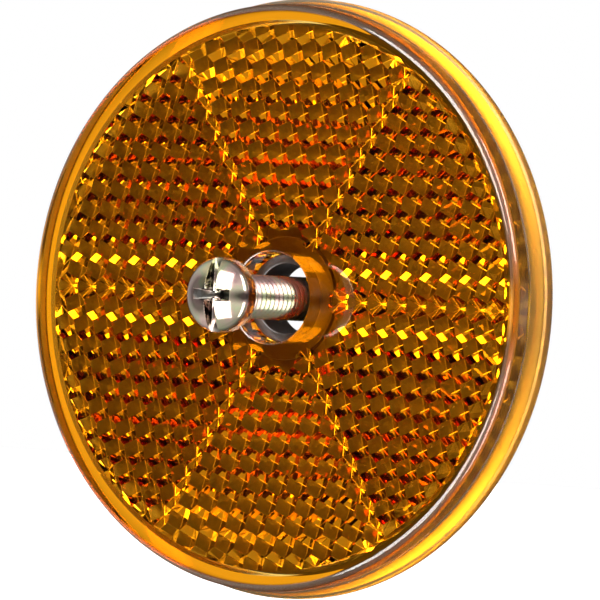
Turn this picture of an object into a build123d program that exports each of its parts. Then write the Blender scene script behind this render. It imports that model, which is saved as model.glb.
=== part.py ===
"""Round screw-on reflex reflector, 80 mm, with its M6 machine screw, washers and nut.

The disc stands upright. Its front faces -Y, +Z is up and +X is to the right of a
person who looks at the front. The origin is on the disc's axis, in the plane of the
lens's back rim. Every length is in millimetres.
"""
from build123d import *
import os

# --- disc ---------------------------------------------------------------------------
DISC_R = 40.0            # outer radius of the back rim
THICKNESS = 7.5          # from the lens's front face to the back rim
FRONT = -THICKNESS       # y of the lens's front face

# --- lens ---------------------------------------------------------------------------
LENS_R = 39.1            # polished side wall
LENS_EDGE_R = 1.1        # rounded front edge
LENS_WALL = 3.0          # depth of the polished side wall
BAND_TOP_R = 39.3        # textured, drafted band behind it, at its front edge
BAND_FOOT_R = 39.6       # and where it meets the back rim
RIM_THICK = 1.5          # back rim
EDGE_CHAMFER = 0.3
RIM_INNER_R = 36.8       # inside of the rim, open to the back
PLATE = 3.6              # mean thickness over the prisms
CLEAR_APOTHEM = 9.2      # six-sided clear zone around the hole
CLEAR_DEPTH = 4.9        # depth of the clear zone's flat back
BORE_R = 6.1             # hole through the lens

# --- back plate ---------------------------------------------------------------------
GAP = 0.05               # clearance between the plate and the lens's rim
FLOOR_FRONT = -2.0       # y of the plate's front face
FLOOR_BACK = -0.9        # y of the recessed back
RECESS_R = 35.6          # outer radius of the recess in the back
RING_R = 9.5             # ring around the hub, at the back
SEAT_R = 8.2             # seat for the lens's clear zone, around the hub
RIB_COUNT = 6
RIB_WIDTH = 1.4
RIB_RING_R = 23.0        # ring rib half way out
HUB_R = 6.0              # sleeve that lines the lens's hole
HUB_HOLE_R = 4.6
HUB_FRONT = FRONT + 3.5
HUB_FLANGE_R = 8.5
HUB_BACK = 1.8           # the flange stands behind the back rim
HUB_ROUND = 0.4          # rounded edges of the flange

# --- M6 machine screw ---------------------------------------------------------------
THREAD_R = 2.95
SCREW_LENGTH = 35.0      # under the head
SCREW_OUT = 10.4         # from the lens's front face to the underside of the head
HEAD_UNDER = FRONT - SCREW_OUT
HEAD_R = 5.0
HEAD_CYLINDER = 2.2
HEAD_DOME = 1.9
SLOT_WIDTH = 1.6
SLOT_DEPTH = 1.9
CROSS_WIDTH = 1.3
CROSS_SPAN = 6.0
CROSS_DEPTH = 2.6
TIP_CHAMFER = 0.6

# --- washers and nut ----------------------------------------------------------------
NUT_THICK = 5.0
NUT_FLATS = 10.0
NUT_HOLE_R = 3.0
NUT_CHAMFER = 0.6
SPRING_R = 5.4
SPRING_HOLE_R = 3.1
SPRING_THICK = 1.6
SPRING_SPLIT = 0.8
FLAT_R = 6.0
FLAT_HOLE_R = 3.2
FLAT_THICK = 1.6
THREAD_SHOWING = 1.0     # thread left beyond the nut

SCREW_TIP = HEAD_UNDER + SCREW_LENGTH
NUT_BACK = SCREW_TIP - THREAD_SHOWING
NUT_FRONT = NUT_BACK - NUT_THICK
SPRING_FRONT = NUT_FRONT - SPRING_THICK
FLAT_FRONT = SPRING_FRONT - FLAT_THICK

AXIS = Axis.Y            # every turned piece is turned about this axis
HALF = Plane.XY          # x is the radius in this plane, y runs along the axis


def facing_back(y):
    """Return the plane at height y on the axis that looks backwards."""
    return Plane(origin=(0, y, 0), x_dir=(1, 0, 0), z_dir=(0, 1, 0))


# Lens: one clear moulding. A plate with a polished side wall and a rounded front edge runs
# on into a drafted band and a back rim, and has a hole in the middle. Its back carries the
# prism field and a six-sided clear zone around the hole.
WALL_END = FRONT + LENS_WALL
PRISM_PLANE = FRONT + PLATE
CLEAR_PLANE = FRONT + CLEAR_DEPTH
RIM_FRONT = -RIM_THICK
with BuildPart() as lens:
    with BuildSketch(HALF):
        with BuildLine():
            Polyline(
                (LENS_R - LENS_EDGE_R, FRONT), (BORE_R, FRONT), (BORE_R, PRISM_PLANE),
                (RIM_INNER_R, PRISM_PLANE), (RIM_INNER_R, 0), (DISC_R - EDGE_CHAMFER, 0),
                (DISC_R, -EDGE_CHAMFER), (DISC_R, RIM_FRONT + EDGE_CHAMFER),
                (DISC_R - EDGE_CHAMFER, RIM_FRONT), (BAND_FOOT_R, RIM_FRONT),
                (BAND_TOP_R, WALL_END), (LENS_R, WALL_END), (LENS_R, FRONT + LENS_EDGE_R),
            )
            RadiusArc((LENS_R, FRONT + LENS_EDGE_R), (LENS_R - LENS_EDGE_R, FRONT), LENS_EDGE_R)
        make_face()
    revolve(axis=AXIS)
    with BuildSketch(facing_back(PRISM_PLANE)):
        RegularPolygon(CLEAR_APOTHEM, 6, major_radius=False)
        Circle(BORE_R, mode=Mode.SUBTRACT)
    extrude(amount=CLEAR_DEPTH - PLATE)
lens.part.label = "lens"

# Back plate: a dark disc that closes the lens's rim from behind, with a seat under the
# clear zone. Its hub lines the lens's hole up to a ledge, and ends in a rounded flange
# behind the back rim. The back has a ring rib and radial ribs in a shallow recess.
with BuildPart() as back_plate:
    with BuildSketch(HALF):
        Polygon(
            (HUB_HOLE_R, HUB_FRONT), (HUB_R, HUB_FRONT), (HUB_R, CLEAR_PLANE),
            (SEAT_R, CLEAR_PLANE), (SEAT_R, FLOOR_FRONT), (RIM_INNER_R - GAP, FLOOR_FRONT),
            (RIM_INNER_R - GAP, 0), (HUB_FLANGE_R, 0), (HUB_FLANGE_R, HUB_BACK),
            (HUB_HOLE_R, HUB_BACK),
            align=None,
        )
    revolve(axis=AXIS)
    hub_end = back_plate.edges().filter_by(GeomType.CIRCLE).group_by(AXIS)[-1]
    fillet(hub_end, HUB_ROUND)
    with BuildSketch(facing_back(FLOOR_BACK)):
        Circle(RECESS_R)
        Circle(RIB_RING_R + RIB_WIDTH / 2, mode=Mode.SUBTRACT)
        Circle(RIB_RING_R - RIB_WIDTH / 2)
        Circle(RING_R, mode=Mode.SUBTRACT)
        with PolarLocations((RING_R + RECESS_R) / 2, RIB_COUNT, start_angle=30):
            Rectangle(RECESS_R - RING_R + 1, RIB_WIDTH, mode=Mode.SUBTRACT)
    extrude(amount=-FLOOR_BACK, mode=Mode.SUBTRACT)
back_plate.part.label = "back_plate"

# Screw: a domed cheese head with a slot across it and a cross recess, on a shank of the
# thread's outer size.
HEAD_TOP = HEAD_UNDER - HEAD_CYLINDER - HEAD_DOME
with BuildPart() as screw:
    with BuildSketch(HALF):
        with BuildLine():
            Polyline(
                (0, HEAD_TOP), (0, SCREW_TIP), (THREAD_R - TIP_CHAMFER, SCREW_TIP),
                (THREAD_R, SCREW_TIP - TIP_CHAMFER), (THREAD_R, HEAD_UNDER),
                (HEAD_R, HEAD_UNDER), (HEAD_R, HEAD_UNDER - HEAD_CYLINDER),
            )
            dome_r = (HEAD_R**2 + HEAD_DOME**2) / (2 * HEAD_DOME)
            RadiusArc((HEAD_R, HEAD_UNDER - HEAD_CYLINDER), (0, HEAD_TOP), dome_r)
        make_face()
    revolve(axis=AXIS)
    with BuildSketch(facing_back(HEAD_TOP)):
        Rectangle(SLOT_WIDTH, 2 * HEAD_R + 1)
    extrude(amount=SLOT_DEPTH, mode=Mode.SUBTRACT)
    with BuildSketch(facing_back(HEAD_TOP)):
        Rectangle(CROSS_SPAN, CROSS_WIDTH)
        Rectangle(CROSS_WIDTH, CROSS_SPAN)
    extrude(amount=CROSS_DEPTH, taper=8, mode=Mode.SUBTRACT)
screw.part.label = "screw"

# Plain washer.
with BuildPart() as flat_washer:
    with BuildSketch(facing_back(FLAT_FRONT)):
        Circle(FLAT_R)
        Circle(FLAT_HOLE_R, mode=Mode.SUBTRACT)
    extrude(amount=FLAT_THICK)
flat_washer.part.label = "flat_washer"

# Spring lock washer: a split ring, drawn as it lies when it is pressed flat.
with BuildPart() as spring_washer:
    with BuildSketch(facing_back(SPRING_FRONT)):
        Circle(SPRING_R)
        Circle(SPRING_HOLE_R, mode=Mode.SUBTRACT)
        with Locations(((SPRING_R + SPRING_HOLE_R) / 2, 0)):
            Rectangle(SPRING_R, SPRING_SPLIT, rotation=25, mode=Mode.SUBTRACT)
    extrude(amount=SPRING_THICK)
spring_washer.part.label = "spring_washer"

# Hexagon nut: its corners are turned off at both ends by intersecting it with a cone.
CORNER_R = NUT_FLATS / 2 / 0.866
with BuildPart() as nut:
    with BuildSketch(facing_back(NUT_FRONT)):
        RegularPolygon(NUT_FLATS / 2, 6, major_radius=False)
        Circle(NUT_HOLE_R, mode=Mode.SUBTRACT)
    extrude(amount=NUT_THICK)
    with BuildSketch(HALF):
        Polygon(
            (0, NUT_FRONT), (CORNER_R - 2 * NUT_CHAMFER, NUT_FRONT),
            (CORNER_R, NUT_FRONT + NUT_CHAMFER), (CORNER_R, NUT_BACK - NUT_CHAMFER),
            (CORNER_R - 2 * NUT_CHAMFER, NUT_BACK), (0, NUT_BACK),
            align=None,
        )
    revolve(axis=AXIS, mode=Mode.INTERSECT)
nut.part.label = "nut"

os.makedirs("parts", exist_ok=True)
for piece in (lens, back_plate, screw, flat_washer, spring_washer, nut):
    export_step(piece.part, f"parts/{piece.part.label}.step")
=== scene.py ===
import logging
import math
from dataclasses import dataclass, field
from enum import Enum
from typing import Sequence

import bmesh
import bpy
from bmesh.types import BMesh, BMVert
from bpy.types import Material, Mesh, Node, NodeOutputs, NodeSocket, NodeTree, Object
from mathutils import Matrix, Vector
from mathutils.geometry import delaunay_2d_cdt


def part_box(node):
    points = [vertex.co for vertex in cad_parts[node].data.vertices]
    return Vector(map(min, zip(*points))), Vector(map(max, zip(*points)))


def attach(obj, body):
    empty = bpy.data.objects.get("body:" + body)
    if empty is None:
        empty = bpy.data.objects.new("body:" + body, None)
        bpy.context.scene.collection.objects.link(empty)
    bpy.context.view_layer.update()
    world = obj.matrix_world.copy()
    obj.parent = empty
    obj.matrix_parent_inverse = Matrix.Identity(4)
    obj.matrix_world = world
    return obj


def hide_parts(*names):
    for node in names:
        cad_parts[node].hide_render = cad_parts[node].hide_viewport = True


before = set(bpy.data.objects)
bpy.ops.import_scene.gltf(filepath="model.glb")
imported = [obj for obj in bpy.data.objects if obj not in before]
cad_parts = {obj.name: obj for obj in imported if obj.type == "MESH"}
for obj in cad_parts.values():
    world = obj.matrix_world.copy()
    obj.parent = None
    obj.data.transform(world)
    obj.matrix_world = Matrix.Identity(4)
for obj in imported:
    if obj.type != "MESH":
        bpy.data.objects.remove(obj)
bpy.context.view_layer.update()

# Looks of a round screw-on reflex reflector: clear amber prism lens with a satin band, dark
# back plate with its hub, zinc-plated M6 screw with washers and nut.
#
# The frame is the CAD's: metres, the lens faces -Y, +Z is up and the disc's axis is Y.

MM = 0.001
SHARP = math.radians(38)     # an edge that turns more than this is drawn sharp
logging.basicConfig(level=logging.INFO, format="%(levelname)s %(message)s")
log = logging.getLogger("reflector")


# ------------------------------------------------------------------ node helpers


class Graph:
    """A node tree that is filled by short calls."""

    def __init__(self, tree: NodeTree) -> None:
        """Take the tree to fill."""
        self.tree = tree

    def add(self, kind: str, inputs: dict | None = None, **props: object) -> Node:
        """Add a node.

        Args:
            kind: the node's type name.
            inputs: values or output sockets, by the input's name or index.
            props: the node's own settings.

        Returns:
            The new node.
        """
        node = self.tree.nodes.new(kind)
        for name, value in props.items():
            setattr(node, name, value)
        for key, value in (inputs or {}).items():
            self.feed(node.inputs[key], value)
        return node

    def feed(self, socket: NodeSocket, value: object) -> None:
        """Link an output to a socket, or set the socket's own value."""
        if isinstance(value, NodeSocket):
            self.tree.links.new(value, socket)
        else:
            socket.default_value = value

    def math(self, operation: str, *values: object) -> NodeSocket:
        """Return the output of a Math node fed with these values or sockets."""
        kind = "ShaderNodeMath"
        return self.add(kind, dict(enumerate(values)), operation=operation).outputs[0]

    def times(self, one: object, two: object) -> NodeSocket:
        """Return the product of two values or sockets."""
        return self.math("MULTIPLY", one, two)

    def plus(self, one: object, two: object) -> NodeSocket:
        """Return the sum of two values or sockets."""
        return self.math("ADD", one, two)

    def minus(self, one: object, two: object) -> NodeSocket:
        """Return the first value or socket less the second."""
        return self.math("SUBTRACT", one, two)

    def over(self, one: object, two: object) -> NodeSocket:
        """Return the first value or socket divided by the second."""
        return self.math("DIVIDE", one, two)

    def span(self, value: object, lows: Sequence[float], highs: Sequence[float]) -> NodeSocket:
        """Map a value between two limits to two others and return the result.

        Args:
            value: the socket or number to map.
            lows: the value's lower limit and what it becomes.
            highs: the value's upper limit and what it becomes.

        Returns:
            The mapped value's socket, held between the two results.
        """
        node = self.add("ShaderNodeMapRange", {
            "Value": value, "From Min": lows[0], "From Max": highs[0],
            "To Min": lows[1], "To Max": highs[1]})
        return node.outputs[0]

    def mix(self, factor: object, one: object, two: object) -> NodeSocket:
        """Return the output of a colour Mix node."""
        node = self.add("ShaderNodeMix", data_type="RGBA")
        self.feed(node.inputs[0], factor)
        self.feed(node.inputs[6], one)
        self.feed(node.inputs[7], two)
        return node.outputs[2]

    def noise(self, where: object, scale: object, detail: float = 2.0) -> NodeSocket:
        """Return the value of a Noise Texture."""
        kind = "ShaderNodeTexNoise"
        return self.add(kind, {"Vector": where, "Scale": scale, "Detail": detail}).outputs[0]

    def reach(self, one: object, two: object) -> NodeSocket:
        """Return the distance from the origin of a point with these two coordinates."""
        squares = [self.times(value, value) for value in (one, two)]
        return self.math("SQRT", self.plus(*squares))

    def bump(self, bsdf: Node, strength: float, depth: float, height: object) -> None:
        """Give a Principled shader a bump of this strength and depth."""
        node = self.add("ShaderNodeBump", {"Strength": strength, "Distance": depth, "Height": height})
        self.feed(bsdf.inputs["Normal"], node.outputs[0])

    def roughen(self, bsdf: Node, rough: object, dust: object, extra: float) -> None:
        """Set a Principled shader's roughness, and add to it where dust lies."""
        matted = self.times(dust, extra)
        self.feed(bsdf.inputs["Roughness"], self.plus(rough, matted))

    def placed(self, geometry: object, where: object) -> NodeSocket:
        """Return geometry with its points set to these positions."""
        return self.add("GeometryNodeSetPosition", {"Geometry": geometry, "Position": where}).outputs[0]

    def dressed(self, geometry: object, mat: object) -> NodeSocket:
        """Return geometry with its material set."""
        return self.add("GeometryNodeSetMaterial", {"Geometry": geometry, "Material": mat}).outputs[0]

    def real(self, geometry: object) -> NodeSocket:
        """Return geometry with its instances made real."""
        return self.add("GeometryNodeRealizeInstances", {0: geometry}).outputs[0]


def new_group(name: str, kind: str, inputs: Sequence, outputs: Sequence) -> tuple:
    """Make an empty node group.

    Args:
        name: the group's name.
        kind: its tree type.
        inputs: (name, socket kind) of each input, and its value if it has one.
        outputs: (name, socket kind) of each output.

    Returns:
        The group, its Graph, its input node's outputs and a function that ends it.
    """
    tree = bpy.data.node_groups.new(name, kind)
    for title, sort in outputs:
        tree.interface.new_socket(title, in_out="OUTPUT", socket_type="NodeSocket" + sort)
    for title, sort, *value in inputs:
        socket = tree.interface.new_socket(title, in_out="INPUT", socket_type="NodeSocket" + sort)
        if value:
            socket.default_value = value[0]
    graph = Graph(tree)
    given = graph.add("NodeGroupInput").outputs

    def end(*results: object) -> None:
        """Feed the group's outputs."""
        graph.add("NodeGroupOutput", dict(enumerate(results)))

    return tree, graph, given, end


def plain_mesh(piece: Object) -> Mesh:
    """Return a piece's mesh as its modifiers leave it."""
    bpy.context.view_layer.update()
    graph = bpy.context.evaluated_depsgraph_get()
    return bpy.data.meshes.new_from_object(piece.evaluated_get(graph))


def evaluate(tree: NodeTree, values: dict) -> Mesh:
    """Run a Geometry Nodes tree on an empty holder and return its plain mesh.

    Args:
        tree: the tree to run.
        values: its inputs, by name.

    Returns:
        The finished mesh. The holder is removed.
    """
    holder = mesh_object("holder", bpy.data.meshes.new("holder"))
    mod = holder.modifiers.new("tree", "NODES")
    mod.node_group = tree
    for item in tree.interface.items_tree:
        if item.in_out == "INPUT":
            mod[item.identifier] = values[item.name]
    mesh = plain_mesh(holder)
    bpy.data.objects.remove(holder)
    return mesh


# ------------------------------------------------------------------ mesh helpers


def mesh_object(name: str, mesh: Mesh) -> Object:
    """Link a new object that holds this mesh to the scene and return it."""
    piece = bpy.data.objects.new(name, mesh)
    bpy.context.scene.collection.objects.link(piece)
    return piece


def mesh_from(name: str, points: Sequence, faces: Sequence) -> Mesh:
    """Return a mesh with these points and faces, in metres."""
    mesh = bpy.data.meshes.new(name)
    mesh.from_pydata([tuple(p) for p in points], [], [tuple(f) for f in faces])
    mesh.update()
    return mesh


def on_circle(radius: float, y: float, angle: float) -> Vector:
    """Return a point at this radius, place on the axis and angle from +X towards +Z."""
    return Vector((radius * math.cos(angle), y, radius * math.sin(angle)))


def rounded(profile: Sequence, radius: float, steps: int = 3, closed: bool = True) -> list:
    """Round the corners of a profile.

    Args:
        profile: (radius, y) points.
        radius: how far from each corner the rounding starts.
        steps: spans in each rounding.
        closed: whether the last point joins the first.

    Returns:
        The new list of (radius, y) points.
    """
    points = [Vector(p) for p in profile]
    count = len(points)
    out = []
    for k, corner in enumerate(points):
        if not closed and k in (0, count - 1):
            out.append(corner)
            continue
        before, after = points[k - 1], points[(k + 1) % count]
        reach_in = min(radius, 0.45 * (before - corner).length)
        reach_out = min(radius, 0.45 * (after - corner).length)
        one = corner + (before - corner).normalized() * reach_in
        two = corner + (after - corner).normalized() * reach_out
        for s in range(steps + 1):
            t = s / steps
            out.append(one * (1 - t) ** 2 + corner * 2 * t * (1 - t) + two * t * t)
    return [tuple(p) for p in out]


def band(shape: BMesh, one: Sequence, two: Sequence) -> list:
    """Join two closed rows of vertices by a band of faces and return the faces."""
    count = len(one)
    return [
        shape.faces.new((one[k], one[(k + 1) % count], two[(k + 1) % count], two[k]))
        for k in range(count)
    ]


def turned(profile: Sequence, steps: int, closed: bool = True) -> BMesh:
    """Turn a profile about the axis.

    Args:
        profile: (radius, y) points. A point with no radius becomes a pole.
        steps: spans round the axis.
        closed: whether the last point joins the first.

    Returns:
        A closed mesh with its faces outwards.
    """
    shape = bmesh.new()
    rings = [
        [shape.verts.new(on_circle(r, y, k * math.tau / steps)) for k in range(steps)]
        for r, y in profile
    ]
    pairs = list(zip(rings, rings[1:]))
    if closed:
        pairs.append((rings[-1], rings[0]))
    for one, two in pairs:
        band(shape, one, two)
    bmesh.ops.remove_doubles(shape, verts=shape.verts, dist=0.0005 * MM)
    bmesh.ops.recalc_face_normals(shape, faces=shape.faces)
    return shape


def soften(shape: BMesh, faces: Sequence | None = None) -> None:
    """Shade these faces or every face smooth, except across sharp edges."""
    for face in shape.faces if faces is None else faces:
        face.smooth = True
    for edge in shape.edges:
        edge.smooth = edge.is_manifold and edge.calc_face_angle(0.0) < SHARP


def finish_mesh(shape: BMesh, name: str, mat: Material) -> Object:
    """Turn a bmesh into a linked object with one material and return it."""
    mesh = bpy.data.meshes.new(name)
    shape.to_mesh(mesh)
    shape.free()
    mesh.materials.clear()
    mesh.materials.append(mat)
    return mesh_object(name, mesh)


def settle(piece: Object, body: str, node: str | None = None) -> None:
    if node:
        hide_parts(node)
    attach(piece, body)
    log.info("%s: %d faces, rides on %s", piece.name, len(piece.data.polygons), body)


# ------------------------------------------------------------------ shared effects


class Effects:
    """Shader groups that several finishes share, each built once."""

    def __init__(self) -> None:
        """Build the groups."""
        self.grain = self.make_grain()
        self.wear = self.make_wear()
        self.dust = self.make_dust()

    def make_grain(self) -> NodeTree:
        """Return the group of fine moulded or plated grain."""
        tree, graph, given, end = new_group(
            "fine_grain", "ShaderNodeTree",
            (("Size", "Float", 0.2), ("Contrast", "Float", 1.0)),
            (("Height", "Float"), ("Patches", "Float")))
        where = graph.add("ShaderNodeTexCoord").outputs["Object"]
        scale = graph.over(1000.0, given["Size"])
        fine = graph.noise(where, scale, 3.0)
        broad = graph.noise(where, 140.0)
        height = graph.times(graph.minus(fine, 0.5), given["Contrast"])
        end(height, graph.span(broad, (0.35, 0.0), (0.65, 1.0)))
        return tree

    def make_wear(self) -> NodeTree:
        """Return the group that finds edges worn by handling."""
        tree, graph, given, end = new_group(
            "edge_wear", "ShaderNodeTree", (("Start", "Float", 0.53), ("End", "Float", 0.62)),
            (("Mask", "Float"),))
        edge = graph.add("ShaderNodeNewGeometry").outputs["Pointiness"]
        where = graph.add("ShaderNodeTexCoord").outputs["Object"]
        broken = graph.span(graph.noise(where, 900.0, 4.0), (0.38, 0.0), (0.6, 1.0))
        node = graph.add("ShaderNodeMapRange", {
            "Value": edge, "From Min": given["Start"], "From Max": given["End"]})
        end(graph.times(node.outputs[0], broken))
        return tree

    def make_dust(self) -> NodeTree:
        """Return the group that lays a little dust on faces that look up."""
        tree, graph, given, end = new_group(
            "settled_dust", "ShaderNodeTree", (("Amount", "Float", 0.3),), (("Mask", "Float"),))
        up = graph.add("ShaderNodeSeparateXYZ", {0: graph.add("ShaderNodeNewGeometry").outputs["Normal"]})
        where = graph.add("ShaderNodeTexCoord").outputs["Object"]
        specks = graph.span(graph.noise(where, 1600.0, 5.0), (0.5, 0.0), (0.72, 1.0))
        laid = graph.span(up.outputs[2], (-0.2, 0.15), (0.9, 1.0))
        end(graph.times(graph.times(specks, laid), given["Amount"]))
        return tree

    def use(self, graph: Graph, tree: NodeTree, values: dict) -> NodeOutputs:
        """Place a group in a material with its own values and return its outputs."""
        node = graph.add("ShaderNodeGroup", node_tree=tree)
        for name, value in values.items():
            graph.feed(node.inputs[name], value)
        return node.outputs


# ------------------------------------------------------------------ finishes


def blank(name: str) -> tuple:
    """Return a new material, its Graph and its Principled shader."""
    mat = bpy.data.materials.new(name)
    mat.use_nodes = True
    return mat, Graph(mat.node_tree), mat.node_tree.nodes["Principled BSDF"]


@dataclass(frozen=True)
class ClearAmber:
    """Clear amber acrylic, coloured through its depth, with a satin band on its side."""

    ior: float = 1.49
    soak_colour: tuple = (0.985, 0.79, 0.0, 1.0)
    density: float = 560.0
    surface: tuple = (1.0, 0.93, 0.70, 1.0)
    band: tuple = (-4.46 * MM, -0.2 * MM)
    band_r: float = 39.15 * MM
    band_rough: float = 0.5

    def material(self, effects: Effects) -> Material:
        """Return the glass-like material with its absorption.

        Args:
            effects: the shared shader groups.

        Returns:
            The material.
        """
        mat, graph, bsdf = blank("clear_amber")
        bsdf.inputs["Base Color"].default_value = self.surface
        bsdf.inputs["IOR"].default_value = self.ior
        bsdf.inputs["Transmission Weight"].default_value = 1.0
        soak = graph.add("ShaderNodeVolumeAbsorption", {"Color": self.soak_colour, "Density": self.density})
        graph.feed(mat.node_tree.nodes["Material Output"].inputs["Volume"], soak.outputs[0])
        spot = graph.add("ShaderNodeTexCoord").outputs["Object"]
        part = graph.add("ShaderNodeSeparateXYZ", {0: spot}).outputs
        reach = graph.reach(part[0], part[2])
        behind = graph.math("GREATER_THAN", part[1], self.band[0])
        before = graph.math("LESS_THAN", part[1], self.band[1])
        outer = graph.math("GREATER_THAN", reach, self.band_r)
        mask = graph.times(graph.times(behind, before), outer)
        grain = effects.use(graph, effects.grain, {"Size": 0.2, "Contrast": 1.0})
        low, high = 0.8 * self.band_rough, 1.2 * self.band_rough
        satin = graph.span(grain["Height"], (-0.25, low), (0.25, high))
        graph.feed(bsdf.inputs["Roughness"], graph.times(mask, satin))
        graph.bump(bsdf, 0.9, 0.05 * MM, graph.times(mask, grain["Height"]))
        return mat


@dataclass(frozen=True)
class DarkPlastic:
    """Very dark brown moulded plastic, semi-gloss, with a fine grain."""

    name: str = "dark_plastic"
    colour: tuple = (0.028, 0.016, 0.011, 1.0)
    worn: tuple = (0.075, 0.066, 0.06, 1.0)
    dusty: tuple = (0.20, 0.18, 0.16, 1.0)
    roughness: float = 0.3

    def material(self, effects: Effects) -> Material:
        """Return the material.

        Args:
            effects: the shared shader groups.

        Returns:
            The material.
        """
        mat, graph, bsdf = blank(self.name)
        grain = effects.use(graph, effects.grain, {"Size": 0.35, "Contrast": 1.0})
        wear = effects.use(graph, effects.wear, {"Start": 0.54, "End": 0.66})
        dust = effects.use(graph, effects.dust, {"Amount": 0.25})
        colour = graph.mix(graph.times(wear["Mask"], 0.5), self.colour, self.worn)
        graph.feed(bsdf.inputs["Base Color"], graph.mix(dust["Mask"], colour, self.dusty))
        rough = graph.span(grain["Patches"], (0.0, self.roughness), (1.0, self.roughness + 0.12))
        graph.roughen(bsdf, rough, dust["Mask"], 0.5)
        graph.bump(bsdf, 0.25, 0.03 * MM, grain["Height"])
        return mat


class Plating(Enum):
    """Passivation of a zinc plating, as its film's tints."""

    YELLOW = ((0.24, 0.20, 0.12), (0.20, 0.21, 0.13), (0.25, 0.18, 0.15), (0.18, 0.11, 0.11))
    CLEAR = ((0.62, 0.63, 0.65), (0.56, 0.60, 0.64), (0.64, 0.62, 0.58), (0.48, 0.52, 0.58))


@dataclass(frozen=True)
class Zinc:
    """Zinc-plated steel with the faint colour bands of its passivation."""

    name: str
    plating: Plating
    roughness: float = 0.07
    film_scale: float = 260.0
    worn: tuple = (0.36, 0.34, 0.31, 1.0)
    dusty: tuple = (0.35, 0.31, 0.26, 1.0)

    def material(self, effects: Effects) -> Material:
        """Return the material.

        Args:
            effects: the shared shader groups.

        Returns:
            The material.
        """
        mat, graph, bsdf = blank(self.name)
        where = graph.add("ShaderNodeTexCoord").outputs["Object"]
        film = graph.noise(where, self.film_scale, 3.0)
        node = graph.add("ShaderNodeValToRGB", {0: graph.span(film, (0.3, 0.0), (0.7, 1.0))})
        ramp = node.color_ramp
        tints = [(*tint, 1.0) for tint in self.plating.value]
        ramp.elements[0].color, ramp.elements[1].color = tints[0], tints[-1]
        for k, tint in enumerate(tints[1:-1]):
            ramp.elements.new((k + 1) / (len(tints) - 1)).color = tint
        grain = effects.use(graph, effects.grain, {"Size": 0.12, "Contrast": 1.0})
        wear = effects.use(graph, effects.wear, {"Start": 0.55, "End": 0.68})
        dust = effects.use(graph, effects.dust, {"Amount": 0.12})
        colour = graph.mix(wear["Mask"], node.outputs[0], self.worn)
        graph.feed(bsdf.inputs["Base Color"], graph.mix(dust["Mask"], colour, self.dusty))
        bsdf.inputs["Metallic"].default_value = 1.0
        rough = graph.span(grain["Patches"], (0.0, self.roughness), (1.0, self.roughness * 1.7))
        graph.roughen(bsdf, rough, dust["Mask"], 0.4)
        graph.bump(bsdf, 0.12, 0.02 * MM, grain["Height"])
        return mat


@dataclass(frozen=True)
class PaleFloor:
    """Plain pale studio floor."""

    colour: tuple = (0.92, 0.92, 0.92, 1.0)

    def material(self) -> Material:
        """Return the material."""
        mat, _, bsdf = blank("pale_floor")
        bsdf.inputs["Base Color"].default_value = self.colour
        bsdf.inputs["Roughness"].default_value = 0.7
        return mat


# ------------------------------------------------------------------ lens


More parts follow.
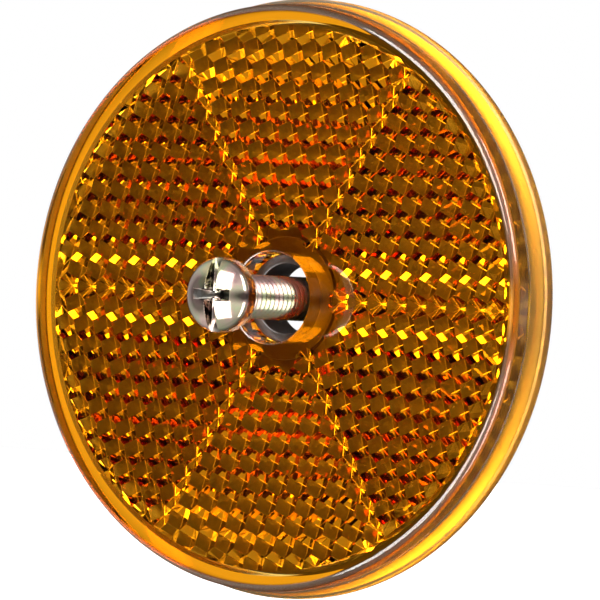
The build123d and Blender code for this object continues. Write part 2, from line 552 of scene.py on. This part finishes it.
@dataclass
class Lens:
    """Clear moulding: plate with cube-corner prisms on its back, side wall, band and rim."""

    pitch: float = 3.15 * MM
    plate: float = 2.3 * MM           # from the front face to the valleys between prisms
    ridge_round: float = 0.05 * MM
    wall_r: float = 39.1 * MM
    edge_r: float = 1.1 * MM
    wall: float = 3.0 * MM
    band_r: tuple = (39.3 * MM, 39.6 * MM)
    rim: float = 1.5 * MM
    chamfer: float = 0.3 * MM
    field_r: float = 36.3 * MM        # the prisms are cut round here
    inner_r: float = 37.0 * MM        # inside of the rim
    bore_r: float = 6.1 * MM
    clear_cells: float = 2.8          # cells nearer the axis than this are left out
    clear_depth: float = 4.87 * MM
    cut_sides: int = 120
    round_steps: int = 240
    lo: Vector = field(default_factory=lambda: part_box("lens")[0])
    hi: Vector = field(default_factory=lambda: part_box("lens")[1])

    @property
    def step(self) -> float:
        """Height of a cube corner's next points over its apex."""
        return self.pitch / math.sqrt(6.0)

    @property
    def apex_y(self) -> float:
        """Place of the prisms' apexes on the axis."""
        return self.lo.y + self.plate + 2 * self.step

    def cell_mesh(self, seam: bool) -> Mesh:
        """Make one prism with its apex at the origin.

        Args:
            seam: whether the cell lies on a seam, so that its lower half mirrors its upper.

        Returns:
            A mesh of triangles round the apex.
        """
        corner_r = self.pitch / math.sqrt(3.0)
        rim = []
        for k in range(6):
            angle = math.radians(30 + 60 * k)
            low = k % 2 == 0 if not seam or k < 3 else k % 2 == 1
            rise = self.step * (1 if low else 2)
            rim.append(on_circle(corner_r, -rise, angle))
        if seam:
            half = self.pitch / 2
            rim.insert(3, Vector((-half, -1.5 * self.step, 0)))
            rim.append(Vector((half, -1.5 * self.step, 0)))
        count = len(rim)
        faces = [(0, 1 + k, 1 + (k + 1) % count) for k in range(count)]
        return mesh_from("seam_cell" if seam else "cell", [Vector()] + rim, faces)

    def field_tree(self) -> NodeTree:
        """Build the tree that lays cells on a triangular lattice in six mirrored sectors."""
        tree, graph, given, end = new_group(
            "prism_field", "GeometryNodeTree",
            (("Pitch", "Float"), ("Outer Reach", "Float"), ("Inner Reach", "Float"),
             ("Apex Y", "Float"), ("Rows", "Int"), ("Cell", "Object"),
             ("Seam Cell", "Object"), ("Material", "Material")),
            (("Geometry", "Geometry"),))
        rows = graph.math("MULTIPLY_ADD", given["Rows"], 2.0, 1.0)
        span = graph.times(given["Rows"], 2.0)
        grid = graph.add("GeometryNodeMeshGrid", {
            "Size X": span, "Size Y": span, "Vertices X": rows, "Vertices Y": rows})
        number = graph.add("GeometryNodeInputIndex").outputs[0]
        i = graph.minus(graph.math("FLOORED_MODULO", number, rows), given["Rows"])
        j = graph.minus(graph.math("FLOOR", graph.over(number, rows)), given["Rows"])
        x = graph.times(graph.math("MULTIPLY_ADD", j, 0.5, i), given["Pitch"])
        z = graph.times(graph.times(j, math.sqrt(0.75)), given["Pitch"])
        spot = graph.add("ShaderNodeCombineXYZ", {0: x, 1: given["Apex Y"], 2: z})
        laid = graph.placed(grid.outputs[0], spot.outputs[0])
        reach = graph.reach(x, z)
        inside = graph.math("LESS_THAN", reach, given["Outer Reach"])
        kept = graph.times(inside, graph.math("GREATER_THAN", reach, given["Inner Reach"]))
        # the lattice coordinates say which 60 degree sector a cell is in: a cell is on a
        # seam when one of i, j and i + j is zero
        total = graph.plus(i, j)
        turns = graph.over(graph.math("ARCTAN2", z, x), math.radians(60))
        near = graph.math("ABSOLUTE", graph.times(graph.times(i, j), total))
        seam = graph.math("LESS_THAN", near, 0.5)
        sector = graph.math("FLOOR", turns)
        odd = graph.math("ABSOLUTE", graph.math("FLOORED_MODULO", sector, 2.0))
        joined = graph.add("GeometryNodeJoinGeometry")
        for cell, pick, angle in (
            ("Cell", graph.minus(1.0, seam), graph.times(odd, math.radians(-60))),
            ("Seam Cell", seam, graph.times(graph.math("ROUND", turns), math.radians(-60))),
        ):
            shape = graph.add("GeometryNodeObjectInfo", {"Object": given[cell]})
            turn = graph.add("ShaderNodeCombineXYZ", {1: angle})
            copies = graph.add("GeometryNodeInstanceOnPoints", {
                "Points": laid, "Selection": graph.times(kept, pick),
                "Instance": shape.outputs["Geometry"], "Rotation": turn.outputs[0]})
            graph.tree.links.new(copies.outputs[0], joined.inputs[0])
        welded = graph.add("GeometryNodeMergeByDistance", {
            "Geometry": graph.real(joined.outputs[0]), "Distance": 0.02 * MM})
        end(graph.dressed(welded.outputs[0], given["Material"]))
        return tree

    def prism_field(self, mat: Material) -> BMesh:
        """Return the prism field with rounded ridges, cut round at the rim's inside."""
        cells = [mesh_object(f"helper_{k}", self.cell_mesh(bool(k))) for k in (0, 1)]
        mesh = evaluate(self.field_tree(), {
            "Pitch": self.pitch, "Outer Reach": self.field_r + 0.9 * self.pitch,
            "Inner Reach": self.clear_cells * self.pitch, "Apex Y": self.apex_y,
            "Rows": math.ceil(self.field_r / self.pitch / math.sqrt(0.75)) + 2,
            "Cell": cells[0], "Seam Cell": cells[1], "Material": mat,
        })
        for helper in cells:
            bpy.data.objects.remove(helper)
        shape = bmesh.new()
        shape.from_mesh(mesh)
        flat = math.radians(1.0)
        bmesh.ops.dissolve_limit(shape, angle_limit=flat, verts=shape.verts, edges=shape.edges)
        ridges = [e for e in shape.edges if e.is_manifold and e.calc_face_angle(0.0) > flat]
        bmesh.ops.bevel(
            shape, geom=ridges, offset=self.ridge_round, offset_type="OFFSET", segments=3,
            profile=0.5, affect="EDGES", clamp_overlap=True)
        for k in range(self.cut_sides):
            way = on_circle(1.0, 0.0, k * math.tau / self.cut_sides)
            bmesh.ops.bisect_plane(
                shape, geom=shape.verts[:] + shape.edges[:] + shape.faces[:], dist=1e-7,
                plane_co=way * self.field_r, plane_no=way, clear_outer=True)
        bmesh.ops.remove_doubles(shape, verts=shape.verts, dist=0.002 * MM)
        return shape

    def build(self, mat: Material) -> None:
        """Close the prism field with the front, the wall and the rim."""
        shape = self.prism_field(mat)
        loops = boundary_loops(shape)
        log.info("prism field: %d faces, %d outlines", len(shape.faces), len(loops))
        turned_faces = self.close_outside(shape, loops[0])
        self.close_inside(shape, loops[1])
        bmesh.ops.recalc_face_normals(shape, faces=shape.faces)
        soften(shape, turned_faces)
        piece = finish_mesh(shape, "lens_body", mat)
        settle(piece, "reflector", "lens")

    def ring(self, shape: BMesh, radius: float, y: float) -> list:
        """Add a ring of points round the axis and return its vertices."""
        turn = math.tau / self.round_steps
        return [shape.verts.new(on_circle(radius, y, k * turn)) for k in range(self.round_steps)]

    def outline(self) -> list:
        """Return the lens's section from the back rim round the front to the clear zone."""
        front, back = self.lo.y, self.hi.y
        rim_r = self.hi.x
        wall_y, rim_y = front + self.wall, back - self.rim
        c, tiny = self.chamfer, 0.08 * MM
        edge = [
            (self.wall_r - self.edge_r * (1 - math.sin(a)), front + self.edge_r * (1 - math.cos(a)))
            for a in (math.radians(90 - 7.5 * k) for k in range(13))
        ]
        return [
            (rim_r - c, back), (rim_r - 0.3 * c, back - 0.3 * c), (rim_r, back - c),
            (rim_r, rim_y + c), (rim_r - 0.3 * c, rim_y + 0.3 * c), (rim_r - c, rim_y),
            (self.band_r[1], rim_y - tiny), (self.band_r[0], wall_y + tiny),
            (self.band_r[0] - tiny, wall_y), (self.wall_r, wall_y - tiny), *edge,
            (self.wall_r - self.edge_r - 0.15 * MM, front),
            (self.bore_r + 0.4 * MM, front), (self.bore_r + 0.2 * MM, front),
            (self.bore_r + 0.06 * MM, front + 0.06 * MM), (self.bore_r, front + 0.2 * MM),
            (self.bore_r, front + 0.4 * MM), (self.bore_r, front + self.clear_depth),
        ]

    def close_outside(self, shape: BMesh, loop: list) -> list:
        """Add the clear strip, the rim's inside, and the turned outside down to the bore.

        Args:
            shape: the mesh to add to.
            loop: the field's outer outline.

        Returns:
            The turned faces.
        """
        strip_y = self.lo.y + self.plate
        inside = [(self.inner_r, strip_y), (self.inner_r, self.hi.y)]
        rings = [self.ring(shape, r, y) for r, y in [*inside, *self.outline()]]
        made = []
        for one, two in zip(rings, rings[1:]):
            made += band(shape, one, two)
        self.fill(shape, self.drop(shape, loop, strip_y), rings[0])
        self.bore_ring = rings[-1]
        return made

    def close_inside(self, shape: BMesh, loop: list) -> None:
        """Add the walls and the flat back of the clear zone round the hole."""
        flat = self.drop(shape, loop, self.lo.y + self.clear_depth)
        self.fill(shape, self.bore_ring, flat)

    def drop(self, shape: BMesh, loop: list, y: float) -> list:
        """Add walls from a loop to the same outline at another place on the axis."""
        low = [shape.verts.new((v.co.x, y, v.co.z)) for v in loop]
        band(shape, loop, low)
        return low

    def fill(self, shape: BMesh, inner: list, outer: list) -> None:
        """Fill the flat band between two closed outlines with triangles."""
        verts = list(inner) + list(outer)
        flat = [Vector((v.co.x, v.co.z)) for v in verts]
        first = len(inner)
        edges = [(k, (k + 1) % first) for k in range(first)]
        edges += [(first + k, first + (k + 1) % len(outer)) for k in range(len(outer))]
        _, _, faces, _, _, _ = delaunay_2d_cdt(flat, edges, [], 0, 1e-9)
        inside = flat[:first]
        for face in faces:
            middle = sum((flat[k] for k in face), Vector((0, 0))) / len(face)
            if not within(middle, inside) and within(middle, flat[first:]):
                shape.faces.new([verts[k] for k in face])


def boundary_loops(shape: BMesh) -> list:
    """Return the open edges of a mesh as closed lists of vertices, the largest first."""
    shape.verts.index_update()
    ahead: dict = {}
    for edge in shape.edges:
        if edge.is_boundary:
            for one, two in ((0, 1), (1, 0)):
                ahead.setdefault(edge.verts[one], []).append(edge.verts[two])
    loops = []
    left = set(ahead)
    while left:
        start = min(left, key=lambda v: v.index)
        loop = [start]
        left.discard(start)
        while True:
            step = [v for v in ahead[loop[-1]] if v in left]
            if not step:
                break
            loop.append(step[0])
            left.discard(step[0])
        loops.append(loop)
    return sorted(loops, key=lambda loop: (-len(loop) // 60, -max(v.co.length for v in loop)))


def within(point: Vector, outline: Sequence[Vector]) -> bool:
    """Tell whether a point lies inside a closed outline."""
    hit = False
    for one, two in zip(outline, list(outline[1:]) + [outline[0]]):
        if (one.y > point.y) != (two.y > point.y):
            cut = one.x + (point.y - one.y) * (two.x - one.x) / (two.y - one.y)
            hit ^= point.x < cut
    return hit


# ------------------------------------------------------------------ back plate


@dataclass
class BackPlate:
    """Dark plate behind the lens, with its hub, flange, ring rib and radial ribs."""

    hole_r: float = 4.6 * MM
    hub_r: float = 6.0 * MM
    seat_r: float = 8.2 * MM
    seat_y: float = -2.6 * MM
    floor: tuple = (-2.0 * MM, -0.9 * MM)    # y of the plate's front and of its recessed back
    recess: tuple = (9.5 * MM, 35.6 * MM)    # inner and outer radius of the recess
    ring_rib: tuple = (22.3 * MM, 23.7 * MM)
    flange_r: float = 8.5 * MM
    rib_width: float = 1.4 * MM
    rib_count: int = 6
    corner: float = 0.22 * MM
    lo: Vector = field(default_factory=lambda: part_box("back_plate")[0])
    hi: Vector = field(default_factory=lambda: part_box("back_plate")[1])

    def build(self, mat: Material) -> None:
        """Turn the plate, and lay the ribs on its back."""
        low, deep = self.floor
        rib_in, rib_out = self.ring_rib
        profile = [
            (self.hole_r, self.lo.y), (self.hub_r, self.lo.y), (self.hub_r, self.seat_y),
            (self.seat_r, self.seat_y), (self.seat_r, low), (self.hi.x, low), (self.hi.x, 0.0),
            (self.recess[1], 0.0), (self.recess[1], deep), (rib_out, deep), (rib_out, 0.0),
            (rib_in, 0.0), (rib_in, deep), (self.recess[0], deep), (self.recess[0], 0.0),
            (self.flange_r, 0.0), (self.flange_r, self.hi.y), (self.hole_r, self.hi.y),
        ]
        shape = turned(rounded(profile, self.corner), 144)
        soften(shape)
        settle(finish_mesh(shape, "plate_body", mat), "reflector", "back_plate")
        self.ribs(mat)

    def rib_mesh(self) -> Mesh:
        """Return one rib with rounded edges, along X, its middle at the origin."""
        shape = bmesh.new()
        bmesh.ops.create_cube(shape, size=1.0)
        length = self.recess[1] - self.recess[0] + 0.8 * MM
        height = -self.floor[1] + 0.15 * MM
        bmesh.ops.scale(shape, vec=(length, height, self.rib_width), verts=shape.verts)
        bmesh.ops.bevel(shape, geom=shape.edges, offset=self.corner, segments=3, profile=0.5,
                        affect="EDGES", clamp_overlap=True)
        soften(shape)
        mesh = bpy.data.meshes.new("rib")
        shape.to_mesh(mesh)
        shape.free()
        return mesh

    def rib_tree(self) -> NodeTree:
        """Build the tree that sets copies of a rib round the axis."""
        _, graph, given, end = new_group(
            "rib_star", "GeometryNodeTree",
            (("Count", "Int"), ("Start", "Float"), ("Middle Radius", "Float"),
             ("Y", "Float"), ("Rib", "Object"), ("Material", "Material")),
            (("Geometry", "Geometry"),))
        line = graph.add("GeometryNodeMeshLine", {"Count": given["Count"]})
        number = graph.add("GeometryNodeInputIndex").outputs[0]
        share = graph.over(number, given["Count"])
        angle = graph.math("MULTIPLY_ADD", share, math.tau, given["Start"])
        spot = graph.add("ShaderNodeCombineXYZ", {
            0: graph.times(graph.math("COSINE", angle), given["Middle Radius"]),
            1: given["Y"],
            2: graph.times(graph.math("SINE", angle), given["Middle Radius"])})
        laid = graph.placed(line.outputs[0], spot.outputs[0])
        turn = graph.add("ShaderNodeCombineXYZ", {1: graph.times(angle, -1.0)})
        rib = graph.add("GeometryNodeObjectInfo", {"Object": given["Rib"]})
        copies = graph.add("GeometryNodeInstanceOnPoints", {
            "Points": laid, "Instance": rib.outputs["Geometry"], "Rotation": turn.outputs[0]})
        end(graph.dressed(graph.real(copies.outputs[0]), given["Material"]))
        return graph.tree

    def ribs(self, mat: Material) -> None:
        """Lay the radial ribs in the recess."""
        rib = mesh_object("rib_helper", self.rib_mesh())
        mesh = evaluate(self.rib_tree(), {
            "Count": self.rib_count, "Start": math.radians(30),
            "Middle Radius": sum(self.recess) / 2, "Y": self.floor[1] / 2 - 0.1 * MM,
            "Rib": rib, "Material": mat})
        bpy.data.objects.remove(rib)
        settle(mesh_object("plate_ribs", mesh), "reflector")


# ------------------------------------------------------------------ screw


@dataclass
class Screw:
    """M6 machine screw: domed head with slot and cross recess, thread to the head."""

    head_r: float = 5.0 * MM
    head_side: float = 2.2 * MM
    root_r: float = 2.40 * MM
    crest_r: float = 2.95 * MM
    pitch: float = 1.0 * MM
    slot_width: float = 1.6 * MM
    slot_depth: float = 2.05 * MM
    cross: tuple = (3.15 * MM, 0.72 * MM)        # arm's reach and half width at the top
    cross_foot: tuple = (1.1 * MM, 0.42 * MM)    # and at the bottom
    cross_depth: float = 3.0 * MM
    under: float = -17.9 * MM                    # y of the head's underside
    lo: Vector = field(default_factory=lambda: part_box("screw")[0])
    hi: Vector = field(default_factory=lambda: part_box("screw")[1])

    def blank_shape(self) -> BMesh:
        """Return the head and core before the recess is cut."""
        top, r = self.lo.y, self.head_r
        dome_foot = self.under - self.head_side
        height = dome_foot - top
        sphere = (r * r + height * height) / (2 * height)
        dome = []
        for k in range(15):
            reach = r * 0.93 * k / 14
            dome.append((reach, top + sphere - math.sqrt(sphere ** 2 - reach ** 2)))
        side = [
            (r, dome_foot + 0.35 * MM), (r, self.under), (self.root_r, self.under),
            (self.root_r, self.hi.y - 0.4 * MM), (self.root_r - 0.4 * MM, self.hi.y), (0.0, self.hi.y),
        ]
        corners = rounded([dome[-1], *side], 0.42 * MM, 4, closed=False)
        return turned([*dome, *corners[1:]], 96, closed=False)

    def cutters(self) -> list:
        """Return the slot and cross solids that are cut from the head."""
        above = self.lo.y - 0.5 * MM
        half = self.slot_width / 2
        reach = self.head_r + 1 * MM
        slot_y = self.lo.y + self.slot_depth
        ends = [
            [(-wide, -reach), (wide, -reach), (wide, reach), (-wide, reach)]
            for wide in (half * 1.06, half * 0.9)
        ]
        shapes = [prism(*ends, above, slot_y)]
        grow = 1 + 0.5 * MM / self.cross_depth
        shapes.append(prism(
            cross_outline(self.cross[0] * grow, self.cross[1] * grow), cross_outline(*self.cross_foot),
            above, self.lo.y + self.cross_depth))
        return shapes

    def build(self, mat: Material, rolled: Material) -> None:
        """Cut the recess, round its edges and wind the thread in its duller finish."""
        core = finish_mesh(self.blank_shape(), "screw_core", mat)
        tools = [finish_mesh(shape, "cutter", mat) for shape in self.cutters()]
        for tool in tools:
            cut = core.modifiers.new("cut", "BOOLEAN")
            cut.operation, cut.solver, cut.object = "DIFFERENCE", "EXACT", tool
        ease = core.modifiers.new("ease", "BEVEL")
        ease.width, ease.segments, ease.limit_method = 0.07 * MM, 2, "ANGLE"
        ease.angle_limit = math.radians(42)
        mesh = plain_mesh(core)
        for helper in (*tools, core):
            bpy.data.objects.remove(helper)
        shape = bmesh.new()
        shape.from_mesh(mesh)
        soften(shape)
        settle(finish_mesh(shape, "screw_body", mat), "screw", "screw")
        self.thread(rolled)

    def thread_tree(self) -> NodeTree:
        """Build the tree that winds a closed thread section along a right-hand helix."""
        _, graph, given, end = new_group(
            "thread", "GeometryNodeTree",
            (("Root", "Float"), ("Crest", "Float"), ("Pitch", "Float"),
             ("Start", "Float"), ("Turns", "Float"), ("Fade", "Float"),
             ("Steps", "Int"), ("Material", "Material")),
            (("Geometry", "Geometry"),))
        around = graph.math("MULTIPLY_ADD", given["Steps"], given["Turns"], 1.0)
        grid = graph.add("GeometryNodeMeshGrid", {
            "Size X": 1.0, "Size Y": 1.0, "Vertices X": around, "Vertices Y": 5})
        number = graph.add("GeometryNodeInputIndex").outputs[0]
        column = graph.math("FLOOR", graph.over(number, 5.0))
        row = graph.math("FLOORED_MODULO", number, 5.0)
        turns = graph.over(column, given["Steps"])
        angle = graph.times(turns, -math.tau)
        # the section's five rows: foot, crest, peak, crest, foot
        off = graph.math("ABSOLUTE", graph.minus(row, 2.0))
        crest = graph.math("LESS_THAN", off, 1.5)
        peak = graph.math("LESS_THAN", off, 0.5)
        left = graph.minus(given["Turns"], turns)
        ends = graph.math("MINIMUM", graph.over(left, given["Fade"]), 1.0)
        depth = graph.minus(given["Crest"], given["Root"])
        lift = graph.times(depth, graph.math("MAXIMUM", ends, 0.04))
        shoulder = graph.times(graph.times(crest, lift), 0.96)
        extra = graph.times(graph.times(peak, lift), 0.04)
        radius = graph.plus(graph.plus(given["Root"], shoulder), extra)
        offset = graph.add("ShaderNodeFloatCurve", {"Value": graph.over(row, 4.0)})
        curve = offset.mapping.curves[0]
        for x, y in ((0.25, 0.42), (0.5, 0.5), (0.75, 0.58)):
            curve.points.new(x, y)
        for point in curve.points:
            point.handle_type = "VECTOR"
        offset.mapping.update()
        wound = graph.plus(turns, offset.outputs[0])
        along = graph.math("MULTIPLY_ADD", wound, given["Pitch"], given["Start"])
        spot = graph.add("ShaderNodeCombineXYZ", {
            0: graph.times(radius, graph.math("COSINE", angle)), 1: along,
            2: graph.times(radius, graph.math("SINE", angle))})
        laid = graph.placed(grid.outputs[0], spot.outputs[0])
        end(graph.dressed(graph.real(laid), given["Material"]))
        return graph.tree

    def thread(self, mat: Material) -> None:
        """Wind the thread and close it on the core."""
        start = self.under - 0.4 * self.pitch
        turns = math.floor((self.hi.y - start) / self.pitch - 1.0)
        mesh = evaluate(self.thread_tree(), {
            "Root": self.root_r - 0.01 * MM, "Crest": self.crest_r, "Pitch": self.pitch, "Start": start,
            "Turns": float(turns), "Fade": 0.8, "Steps": 48, "Material": mat})
        shape = bmesh.new()
        shape.from_mesh(mesh)
        bmesh.ops.remove_doubles(shape, verts=shape.verts, dist=0.001 * MM)
        rim = [e for e in shape.edges if e.is_boundary]
        sleeve = bmesh.ops.extrude_edge_only(shape, edges=rim)["geom"]
        inner = self.root_r - 0.35 * MM
        for vert in (v for v in sleeve if isinstance(v, BMVert)):
            reach = math.hypot(vert.co.x, vert.co.z)
            vert.co.x *= inner / reach
            vert.co.z *= inner / reach
        bmesh.ops.holes_fill(shape, edges=[e for e in shape.edges if e.is_boundary], sides=0)
        bmesh.ops.recalc_face_normals(shape, faces=shape.faces)
        soften(shape)
        settle(finish_mesh(shape, "screw_thread", mat), "screw")


def prism(top: Sequence, bottom: Sequence, top_y: float, bottom_y: float) -> BMesh:
    """Return a closed solid between two outlines of (x, z) points at two places on the axis."""
    shape = bmesh.new()
    one = [shape.verts.new((x, top_y, z)) for x, z in top]
    two = [shape.verts.new((x, bottom_y, z)) for x, z in bottom]
    count = len(one)
    shape.faces.new(one)
    shape.faces.new(list(reversed(two)))
    for k in range(count):
        n = (k + 1) % count
        shape.faces.new((one[k], two[k], two[n], one[n]))
    bmesh.ops.recalc_face_normals(shape, faces=shape.faces)
    return shape


def cross_outline(reach: float, half: float) -> list:
    """Return the outline of a cross with four equal arms."""
    arm = [(reach, -half), (reach, half), (half, half)]
    points = []
    for k in range(4):
        c, s = round(math.cos(k * math.pi / 2)), round(math.sin(k * math.pi / 2))
        points += [(x * c - z * s, x * s + z * c) for x, z in arm]
    return points


# ------------------------------------------------------------------ washers and nut


@dataclass
class Hardware:
    """Plain washer, spring washer and hexagon nut behind the disc."""

    plain: tuple = (3.2 * MM, 6.0 * MM)
    spring: tuple = (3.1 * MM, 5.4 * MM)
    split: float = math.radians(9.0)
    slant: float = math.radians(18.0)
    nut_hole_r: float = 3.0 * MM
    nut_flats: float = 10.0 * MM
    steps: int = 96

    def build(self, mat: Material) -> None:
        """Make the three pieces."""
        self.plain_washer(mat)
        self.spring_washer(mat)
        self.nut(mat)

    def plain_washer(self, mat: Material) -> None:
        """Turn the plain washer, its punched edges rounded."""
        lo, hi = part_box("flat_washer")
        inner, outer = self.plain
        profile = [(inner, lo.y), (outer, lo.y), (outer, hi.y), (inner, hi.y)]
        shape = turned(rounded(profile, 0.22 * MM), self.steps)
        soften(shape)
        settle(finish_mesh(shape, "plain_washer", mat), "washers", "flat_washer")

    def spring_washer(self, mat: Material) -> None:
        """Sweep the spring washer's section round to its slanted split."""
        lo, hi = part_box("spring_washer")
        inner, outer = self.spring
        section = rounded([(inner, lo.y), (outer, lo.y), (outer, hi.y), (inner, hi.y)], 0.18 * MM)
        middle = (lo.y + hi.y) / 2
        shape = bmesh.new()
        rings = []
        for k in range(self.steps + 1):
            turn = self.split / 2 + (math.tau - self.split) * k / self.steps
            rings.append([
                shape.verts.new(on_circle(r, y, turn + self.slant * (y - middle) / (hi.y - lo.y)))
                for r, y in section])
        for one, two in zip(rings, rings[1:]):
            band(shape, one, two)
        shape.faces.new(rings[0])
        shape.faces.new(list(reversed(rings[-1])))
        bmesh.ops.recalc_face_normals(shape, faces=shape.faces)
        soften(shape)
        settle(finish_mesh(shape, "spring_ring", mat), "washers", "spring_washer")

    def flat_at(self, angle: float) -> float:
        """Return the distance from the axis to the hexagon at this angle."""
        sixth = math.radians(60)
        off = (angle + sixth / 2) % sixth - sixth / 2
        return self.nut_flats / 2 / math.cos(off)

    def nut(self, mat: Material) -> None:
        """Build the nut with its corners turned off at 30 degrees and its hole eased."""
        lo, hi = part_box("nut")
        face_r = 0.96 * self.nut_flats / 2
        slope = math.tan(math.radians(30))
        shape = bmesh.new()
        rings = []
        for k in range(self.steps):
            angle = k * math.tau / self.steps
            side = self.flat_at(angle) - 0.02 * MM
            drop = (side - face_r) * slope
            section = [
                (self.nut_hole_r, lo.y + 0.45 * MM), (self.nut_hole_r + 0.35 * MM, lo.y),
                (face_r - 0.05 * MM, lo.y), (face_r, lo.y + 0.02 * MM), (side - 0.05 * MM, lo.y + drop),
                (side, lo.y + drop + 0.06 * MM), (side, hi.y - drop - 0.06 * MM),
                (side - 0.05 * MM, hi.y - drop), (face_r, hi.y - 0.02 * MM), (face_r - 0.05 * MM, hi.y),
                (self.nut_hole_r + 0.35 * MM, hi.y), (self.nut_hole_r, hi.y - 0.45 * MM)]
            rings.append([shape.verts.new(on_circle(r, y, angle)) for r, y in section])
        for one, two in zip(rings, [*rings[1:], rings[0]]):
            band(shape, one, two)
        bmesh.ops.recalc_face_normals(shape, faces=shape.faces)
        soften(shape)
        settle(finish_mesh(shape, "hex_nut", mat), "nut", "nut")


# ------------------------------------------------------------------ stage


@dataclass(frozen=True)
class Glow:
    """A soft rectangle of light in the studio's surroundings, by its angles in degrees."""

    turn: float          # from straight in front of the disc towards +X
    height: float
    wide: float
    tall: float
    power: float
    soft: float = 2.5


@dataclass(frozen=True)
class Gap:
    """A dark place in the surroundings, level with the disc, by its angles in degrees."""

    turn: float
    inner: float         # as dark as it gets within this
    outer: float         # and as bright as the rest from here on
    level: float
    squash: float        # 1 is round, less is wider than it is high


@dataclass
class Studio:
    """Camera, floor, background and lights."""

    distance: float = 1.575
    lens: float = 710.0
    floor_z: float = -0.16
    front: float = 2.7
    back: float = 1.0
    poles: float = 0.45      # how bright it stays far above and below
    backdrop_edge: float = 0.1   # the bright backdrop is a low strip, this dark beyond it
    gaps: tuple = (
        Gap(-34.6, 9.0, 24.0, 0.02, 0.8), Gap(62.0, 7.0, 17.0, 0.1, 0.2),
        Gap(-58.0, 22.0, 34.0, 0.22, 0.8),
    )
    boxes: tuple = (
        Glow(-8, 27, 20, 17, 17.0), Glow(-8, -27, 20, 17, 15.0),
        Glow(68, 34, 14, 20, 14.0), Glow(68, -34, 14, 20, 11.0),
    )

    def camera(self) -> None:
        """Add the camera at the product's viewing angle, turned a little about its own axis."""
        data = bpy.data.cameras.new("camera")
        data.lens = self.lens
        data.clip_start, data.clip_end = 0.05, 20.0
        cam = bpy.data.objects.new("camera", data)
        bpy.context.scene.collection.objects.link(cam)
        right = Vector((0.822, 0.567, 0.0577)).normalized()
        back = Vector((0.568, -0.823, 0.0045)).normalized()
        up = back.cross(right).normalized()
        right = up.cross(back)
        pivot = Vector((0, -3.9 * MM, 0))
        place = pivot + back * self.distance + right * (1.8 * MM) - up * (0.22 * MM)
        turn = Matrix((right, up, back)).transposed().to_4x4()
        cam.matrix_world = Matrix.Translation(place) @ turn
        bpy.context.scene.camera = cam

    def rectangle(self, graph: Graph, turn: object, height: object, box: Glow) -> object:
        """Return the light that one soft box adds in a direction."""
        level: object = box.power
        for angle, middle, reach in ((turn, box.turn, box.wide), (height, box.height, box.tall)):
            off = graph.math("ABSOLUTE", graph.minus(angle, middle))
            level = graph.times(level, graph.span(off, (reach - box.soft, 1.0), (reach, 0.0)))
        return level

    def world(self) -> None:
        """Light the scene with pale surroundings and soft boxes, the background white."""
        world = bpy.data.worlds.new("studio")
        bpy.context.scene.world = world
        world.use_nodes = True
        graph = Graph(world.node_tree)
        nodes = world.node_tree.nodes
        path = graph.add("ShaderNodeLightPath")
        seen = graph.add("ShaderNodeTexCoord").outputs["Generated"]
        way = graph.add("ShaderNodeSeparateXYZ", {0: seen}).outputs
        turn = graph.math("DEGREES", graph.math("ARCTAN2", way[0], graph.times(way[1], -1.0)))
        height = graph.math("DEGREES", graph.math("ARCSINE", way[2]))
        level = graph.span(way[1], (-0.25, self.front), (0.15, self.back))
        lift = graph.math("ABSOLUTE", height)
        level = graph.times(level, graph.span(lift, (22.0, 1.0), (60.0, self.poles)))
        # behind the disc only a low strip of backdrop is bright
        low = graph.span(lift, (1.5, 1.0), (8.0, self.backdrop_edge))
        behind = graph.span(way[1], (0.2, 0.0), (0.5, 1.0))
        fall = graph.times(behind, graph.minus(1.0, low))
        level = graph.times(level, graph.minus(1.0, fall))
        # dark patches: where the flat front face mirrors the view, along the level between
        # the soft boxes, and further out on the left
        for gap in self.gaps:
            off = graph.times(graph.minus(turn, gap.turn), gap.squash)
            shade = graph.span(graph.reach(off, height), (gap.inner, gap.level), (gap.outer, 1.0))
            level = graph.times(level, shade)
        for box in self.boxes:
            level = graph.plus(level, self.rectangle(graph, turn, height, box))
        shown = graph.add("ShaderNodeMix", {0: path.outputs["Is Camera Ray"], 2: level, 3: 1.0})
        nodes["Background"].inputs["Color"].default_value = (1, 1, 1, 1)
        graph.feed(nodes["Background"].inputs["Strength"], shown.outputs[0])

    def floor(self) -> None:
        """Add a plain pale floor well below the disc."""
        size = 6.0
        corners = [(-size, -size), (size, -size), (size, size), (-size, size)]
        mesh = mesh_from("floor", [(x, y, self.floor_z) for x, y in corners], [(0, 1, 2, 3)])
        piece = mesh_object("floor", mesh)
        piece.data.materials.append(PaleFloor().material())
        piece.visible_glossy = piece.visible_transmission = False


def main() -> None:
    """Build the pieces in order and report each one."""
    bpy.context.scene.view_settings.view_transform = "Standard"
    studio = Studio()
    studio.camera()
    studio.world()
    studio.floor()
    effects = Effects()
    Lens().build(ClearAmber().material(effects))
    BackPlate().build(DarkPlastic().material(effects))
    rolled = Zinc("zinc_thread", Plating.YELLOW, roughness=0.2)
    Screw().build(Zinc("zinc_yellow", Plating.YELLOW).material(effects), rolled.material(effects))
    Hardware().build(Zinc("zinc_clear", Plating.CLEAR, roughness=0.2).material(effects))


if __name__ == "__main__":
    main()
